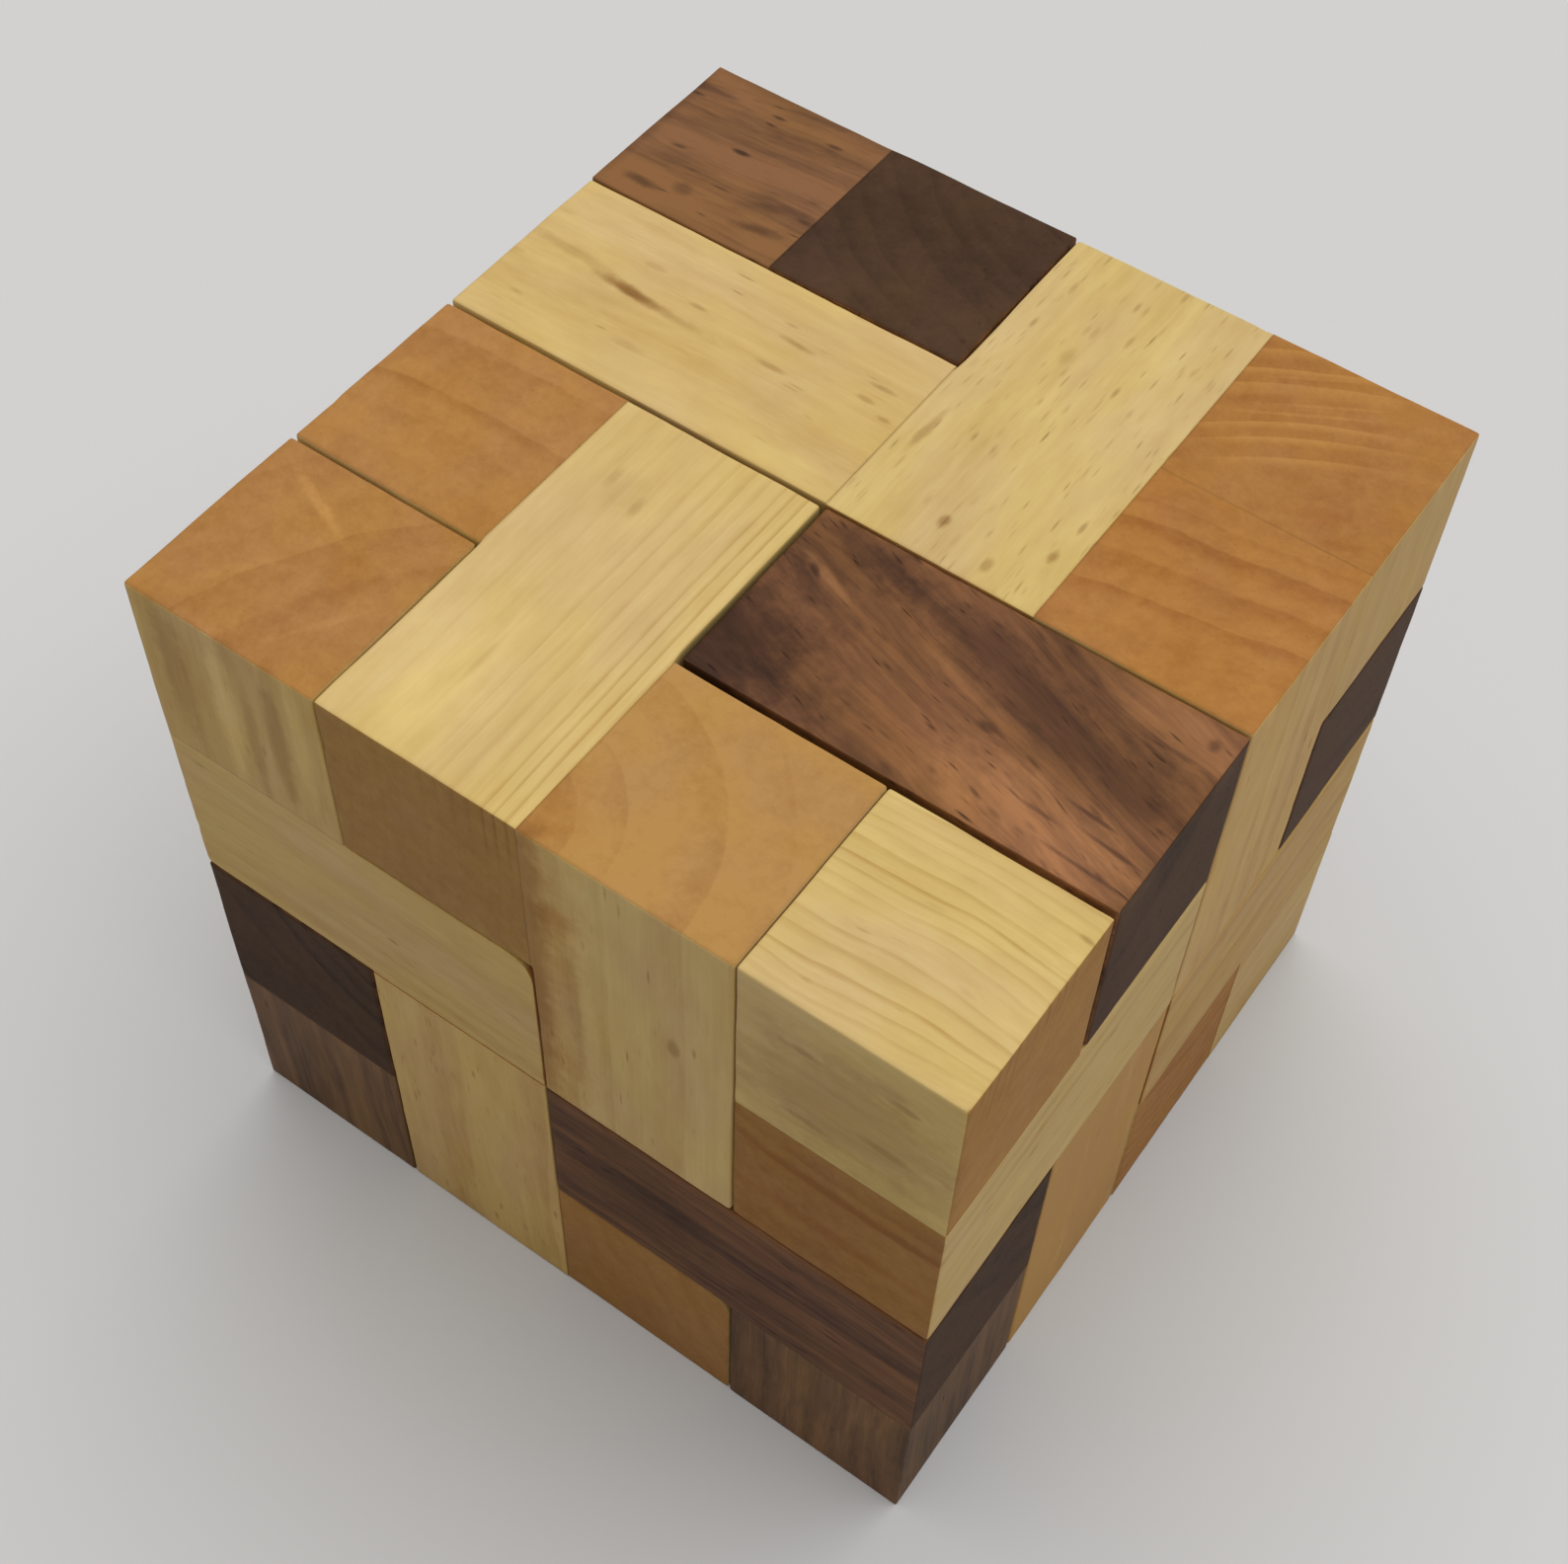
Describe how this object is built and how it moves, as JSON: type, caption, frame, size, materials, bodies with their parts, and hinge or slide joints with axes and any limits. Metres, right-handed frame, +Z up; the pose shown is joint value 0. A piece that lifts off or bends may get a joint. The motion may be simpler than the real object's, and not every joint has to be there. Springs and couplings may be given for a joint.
{
  "type": "wooden cube puzzle",
  "caption": "Interlocking wooden cube puzzle in pale and dark wood, glued up from square sticks and small cubes into pieces that slide apart along the cube's edges.",
  "frame": {"origin": "middle of the cube's underside, on the surface that it stands on", "axes": "+Z up; -Y is the front face and +X the right face; every edge of the cube and every slide runs along X, Y or Z"},
  "size_m": [0.08, 0.08, 0.08],
  "materials": {
    "pale_wood": "sanded smooth, waxed, fine straight grain",
    "honey_wood": "sanded smooth, waxed, end grain with growth rings",
    "dark_wood": "sanded smooth, waxed, dark streaks and open pores"
  },
  "bodies": {
    "base": {"base_top_corner": "honey_wood", "base_front_stick": "pale_wood", "base_front_post": "pale_wood", "base_right_floor_stick": "pale_wood", "base_left_floor_stick": "pale_wood"},
    "key": {"key_corner": "pale_wood", "key_cross_stick": "pale_wood", "key_drop_stick": "honey_wood"},
    "lock": {"lock_top_stick": "dark_wood", "lock_core_stick": "dark_wood", "lock_front_stick": "dark_wood", "lock_foot_corner": "dark_wood"},
    "arch": {"arch_top_stick": "pale_wood", "arch_front_leg": "pale_wood", "arch_left_leg": "honey_wood", "arch_core_leg": "pale_wood"},
    "cradle": {"cradle_front_corner": "dark_wood", "cradle_side_stick": "dark_wood", "cradle_side_post": "dark_wood", "cradle_core_post": "dark_wood", "cradle_back_corner": "dark_wood"},
    "roof": {"roof_left_stick": "pale_wood", "roof_right_stick": "pale_wood", "roof_corner": "honey_wood", "roof_right_leg": "honey_wood", "roof_left_hook": "pale_wood"},
    "heel": {"heel_corner": "pale_wood", "heel_right_stick": "pale_wood", "heel_right_floor_stick": "pale_wood", "heel_left_floor_stick": "pale_wood", "heel_back_stick": "pale_wood"},
    "spine": {"spine_top_corner": "dark_wood", "spine_left_post": "dark_wood", "spine_right_stick": "dark_wood", "spine_foot_post": "dark_wood", "spine_core_post": "dark_wood"}
  },
  "joints": [
    {"name": "arch_lift", "type": "slide", "parent": "base", "child": "arch", "axis": [0, 0, 1], "range_m": [0, 0.07]},
    {"name": "lock_slide", "type": "slide", "parent": "base", "child": "lock", "axis": [1, 0, 0], "range_m": [0, 0.05]},
    {"name": "key_slide", "type": "slide", "parent": "lock", "child": "key", "axis": [1, 0, 0], "range_m": [0, 0.03]},
    {"name": "cradle_slide", "type": "slide", "parent": "base", "child": "cradle", "axis": [-1, 0, 0], "range_m": [0, 0.09]},
    {"name": "roof_slide", "type": "slide", "parent": "cradle", "child": "roof", "axis": [0, 1, 0], "range_m": [0, 0.05]},
    {"name": "heel_slide", "type": "slide", "parent": "roof", "child": "heel", "axis": [0, 1, 0], "range_m": [0, 0.05]},
    {"name": "spine_slide", "type": "slide", "parent": "heel", "child": "spine", "axis": [0, 1, 0], "range_m": [0, 0.05]}
  ]
}
